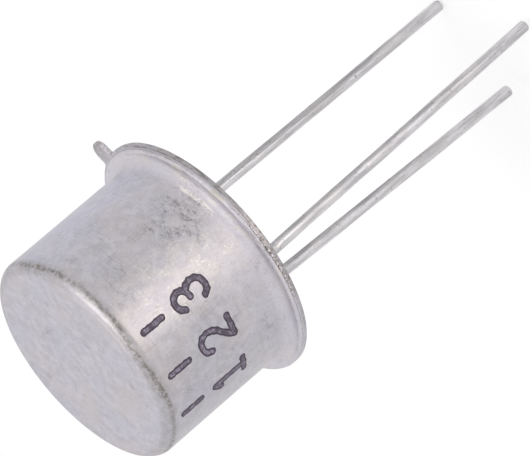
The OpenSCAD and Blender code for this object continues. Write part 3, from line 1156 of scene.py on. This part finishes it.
def mark_film(name, mark, angle, height, s, can):
    """One stamped mark: a closed film of ink wrapped on the can's wall.

    It is cut from a fine grid along the strokes' edge.
    """
    strokes = [[(x * s.width, y * s.height) for x, y in stroke] for stroke in GLYPHS[mark]]
    margin, cell = s.stroke, INK_CELL
    columns = int((s.width + 2 * margin) / cell)
    rows = int((s.height + 2 * margin) / cell)
    seed = Vector((angle, height / MM, 0.0))

    def depth(i, j):
        """How far a grid point is inside a stroke, below 0 outside."""
        x, y = i * cell - margin, j * cell - margin
        ragged = INK_RAGGED * noise.noise(Vector((x, y, 0)) / (0.16 * MM) + seed)
        return s.stroke / 2 + ragged - stroke_distance(x, y, strokes)

    depths = {(i, j): depth(i, j) for i in range(columns + 1) for j in range(rows + 1)}
    mesh = bmesh.new()
    layer = mesh.verts.layers.float.new("depth")
    made = {}

    def place(key, i, j, value):
        """The one vertex kept under key, at that spot of the grid."""
        if key not in made:
            x, y = i * cell - margin - s.width / 2, j * cell - margin
            turn = math.radians(angle) + x / CAN_RADIUS
            vertex = mesh.verts.new(can_surface(can, CAN_RADIUS + s.film, height + y, turn))
            vertex[layer] = min(max(value / (s.stroke / 2), 0.0), 1.0)
            made[key] = vertex
        return made[key]

    for i in range(columns):
        for j in range(rows):
            corners = ((i, j), (i + 1, j), (i + 1, j + 1), (i, j + 1))
            polygon = []
            for a, b in zip(corners, corners[1:] + corners[:1]):
                da, db = depths[a], depths[b]
                if da > 0:
                    polygon.append(place(a, *a, da))
                if (da > 0) != (db > 0):
                    t = min(max(da / (da - db), 0.06), 0.94)
                    cut = (a[0] + t * (b[0] - a[0]), a[1] + t * (b[1] - a[1]))
                    polygon.append(place((min(a, b), max(a, b)), *cut, 0.0))
            if len(polygon) > 2:
                mesh.faces.new(polygon)
    walls = bmesh.ops.extrude_face_region(mesh, geom=list(mesh.faces))
    axis = Vector((*CAN_AXIS, 0))
    for vertex in [v for v in walls["geom"] if isinstance(v, bmesh.types.BMVert)]:
        out = (vertex.co - axis) * Vector((1, 1, 0))
        vertex.co -= out.normalized() * (s.film * 1.2)
    bmesh.ops.recalc_face_normals(mesh, faces=mesh.faces)
    return as_object(name, mesh)


class OBJECT_OT_legend(bpy.types.Operator):
    """Stamps the pin legend on the can's wall"""

    bl_idname = "transistor.legend"
    bl_label = "Pin legend"

    def execute(self, context):
        s, can = context.scene.legend_settings, context.scene.can_settings
        material = stamped_ink("stamped_ink", s.ink)
        for number, (mark, angle, height) in enumerate(LEGEND):
            piece = mark_film(f"ink_{mark}_{number}", mark, angle, height, s, can)
            finish_piece(piece, material, "can")
        return {"FINISHED"}


# Stage

AIM = Vector((-0.73, -0.70, -1.92)) * MM
AT_CAN = Vector((0, 0, 3.0)) * MM
AT_LEADS = Vector((0, 0, -8.4)) * MM

LAMPS = (
    # name, what it faces, direction, distance, width and height in mm, radiance and colour
    ("front_panel", AT_CAN, (-0.22, -0.93, -0.26), 26, 16, 13, 1.1, (1.0, 0.895, 0.77)),
    ("lead_strip", AT_LEADS, (-0.26, -0.965, 0.0), 6.4, 2.3, 10.8, 0.43, (1.0, 0.96, 0.93)),
    ("top_panel", AT_CAN, (0.24, -0.24, 0.94), 60, 34, 34, 1.6, (1.0, 1.0, 1.0)),
    ("back_panel", AT_CAN, (0.14, 0.87, 0.47), 75, 80, 60, 0.05, (0.8, 0.9, 1.3)),
    ("edge_panel", AT_CAN, (0.11, 0.57, 0.81), 55, 22, 13, 1.1, (1.0, 0.96, 0.93)),
    ("side_panel", AT_CAN, (0.86, 0.3, -0.36), 26, 14, 12, 0.12, (0.5, 0.7, 1.6)),
)

CARDS = (
    # name, what it faces, direction, distance, width and height in mm, and grey
    ("grey_card_front", AT_LEADS, (0.64, -0.77, 0.0), 6.6, 4.4, 10.8, 0.66),
    ("grey_card_side", AT_LEADS, (0.995, -0.1, 0.0), 6.8, 4.6, 10.8, 0.63),
    ("grey_card_back", AT_LEADS, (0.78, 0.62, 0.0), 6.8, 4.6, 10.8, 0.66),
)

FLOOR_RADIUS = 0.9
FLOOR_GREY = 0.8
FLOOR_GLOW = 0.45  # brings the lit floor up to plain white


def facing(aim, direction, distance):
    """Where a panel stands to face aim from that way and distance in mm, and its turn."""
    back = Vector(direction).normalized()
    return aim + back * (distance * MM), back.to_track_quat("Z", "Y")


def add_lamp(name, aim, direction, distance, width, height, radiance, colour):
    """A soft panel of that radiance, facing aim."""
    data = bpy.data.lights.new(name, "AREA")
    data.shape, data.size, data.size_y = "RECTANGLE", width * MM, height * MM
    data.energy = radiance * math.pi * (width * MM) * (height * MM)
    data.color = colour
    lamp = bpy.data.objects.new(name, data)
    lamp.rotation_mode = "QUATERNION"
    lamp.location, lamp.rotation_quaternion = facing(aim, direction, distance)
    lamp.visible_camera = False
    bpy.context.scene.collection.objects.link(lamp)


def add_card(name, aim, direction, distance, width, height, grey):
    """A grey card facing aim, there only as a reflection in the metal."""
    mesh = bmesh.new()
    bmesh.ops.create_grid(mesh, x_segments=1, y_segments=1, size=0.5)
    card = as_object(name, mesh)
    place, turn = facing(aim, direction, distance)
    size = Matrix.Diagonal((width * MM, height * MM, 1, 1))
    card.matrix_world = Matrix.Translation(place) @ turn.to_matrix().to_4x4() @ size
    material = bpy.data.materials.new(name)
    tree = Tree(material)
    tree.show(tree.node("Emission", {"Strength": grey})[0])
    card.data.materials.append(material)
    card.visible_camera = card.visible_diffuse = card.visible_shadow = False
    card.visible_transmission = False
    card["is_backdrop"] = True


def add_camera(s):
    """The camera, aimed, rolled and set on the scene."""
    data = bpy.data.cameras.new("camera")
    data.sensor_width, data.lens = 36.0, s.lens
    data.clip_start, data.clip_end = 0.005, 5.0
    camera = bpy.data.objects.new("camera", data)
    back = Vector((
        math.sin(s.azimuth) * math.cos(s.elevation),
        -math.cos(s.azimuth) * math.cos(s.elevation),
        math.sin(s.elevation),
    ))
    level = back.to_track_quat("Z", "Y").to_matrix().to_4x4()
    roll = Matrix.Rotation(s.roll, 4, "Z")
    camera.matrix_world = Matrix.Translation(AIM + back * s.distance) @ level @ roll
    bpy.context.scene.collection.objects.link(camera)
    bpy.context.scene.camera = camera


def seen_directly(tree):
    """1 for rays from the camera and off glossy or clear surfaces."""
    path = tree.node("LightPath", {})
    value = path["Is Camera Ray"]
    for other in ("Is Glossy Ray", "Is Transmission Ray"):
        value = tree.math("MAXIMUM", value, path[other])
    return value


def floor_material():
    """Matt white, shown as plain white where no shadow falls."""
    material = bpy.data.materials.new("studio_floor")
    tree = Tree(material)
    matt = tree.node("BsdfDiffuse", {"Color": (FLOOR_GREY,) * 3})[0]
    glow = tree.times(seen_directly(tree), FLOOR_GLOW)
    glow = tree.node("Emission", {"Strength": glow})[0]
    tree.show(tree.node("AddShader", {0: matt, 1: glow})[0])
    return material


def light_room(strength):
    """Even light from all round, shown as plain white."""
    world = bpy.data.worlds.new("studio")
    bpy.context.scene.world = world
    tree = Tree(world, "ShaderNodeOutputWorld")
    level = {"Value": seen_directly(tree), "To Min": strength, "To Max": 1.0}
    level = tree.node("MapRange", level)["Result"]
    tree.show(tree.node("Background", {"Color": (1, 1, 1), "Strength": level})[0])


class OBJECT_OT_stage(bpy.types.Operator):
    """Sets the floor, the soft panels, the cards and the camera"""

    bl_idname = "transistor.stage"
    bl_label = "Stage"

    def execute(self, context):
        s = context.scene.stage_settings
        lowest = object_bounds()[0].z
        mesh = bmesh.new()
        bmesh.ops.create_circle(mesh, cap_ends=True, segments=96, radius=FLOOR_RADIUS)
        floor = as_object("floor", mesh)
        floor.location.z = lowest - s.floor_gap
        floor.data.materials.append(floor_material())
        floor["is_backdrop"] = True
        for lamp in LAMPS:
            add_lamp(*lamp)
        for card in CARDS:
            add_card(*card)
        light_room(s.room)
        add_camera(s)
        context.scene.view_settings.view_transform = "Standard"
        return {"FINISHED"}


class VIEW3D_PT_transistor(bpy.types.Panel):
    """Lists the parts of the transistor"""

    bl_label = "Metal Can Transistor"
    bl_idname = "VIEW3D_PT_transistor"
    bl_space_type = "VIEW_3D"
    bl_region_type = "UI"
    bl_category = "Transistor"

    def draw(self, context):
        for operator in OPERATORS:
            self.layout.operator(operator.bl_idname)


SETTINGS = {
    "can_settings": CanSettings,
    "header_settings": HeaderSettings,
    "lead_settings": LeadSettings,
    "glass_settings": GlassSettings,
    "chip_settings": ChipSettings,
    "legend_settings": LegendSettings,
    "stage_settings": StageSettings,
}
OPERATORS = (
    OBJECT_OT_can,
    OBJECT_OT_header,
    OBJECT_OT_weld,
    OBJECT_OT_leads,
    OBJECT_OT_glass,
    OBJECT_OT_chip,
    OBJECT_OT_legend,
    OBJECT_OT_stage,
)


def register():
    """Registers the settings, operators and panel."""
    for kind in (*SETTINGS.values(), *OPERATORS, VIEW3D_PT_transistor):
        bpy.utils.register_class(kind)
    for name, kind in SETTINGS.items():
        setattr(bpy.types.Scene, name, PointerProperty(type=kind))


def unregister():
    """Takes back what register did."""
    for name in SETTINGS:
        delattr(bpy.types.Scene, name)
    for kind in reversed((*SETTINGS.values(), *OPERATORS, VIEW3D_PT_transistor)):
        bpy.utils.unregister_class(kind)


def main():
    """Makes every piece in order."""
    register()
    bpy.ops.transistor.can()
    bpy.ops.transistor.header()
    bpy.ops.transistor.weld()
    bpy.ops.transistor.leads()
    bpy.ops.transistor.glass()
    bpy.ops.transistor.chip()
    bpy.ops.transistor.legend()
    bpy.ops.transistor.stage()


if __name__ == "__main__":
    main()
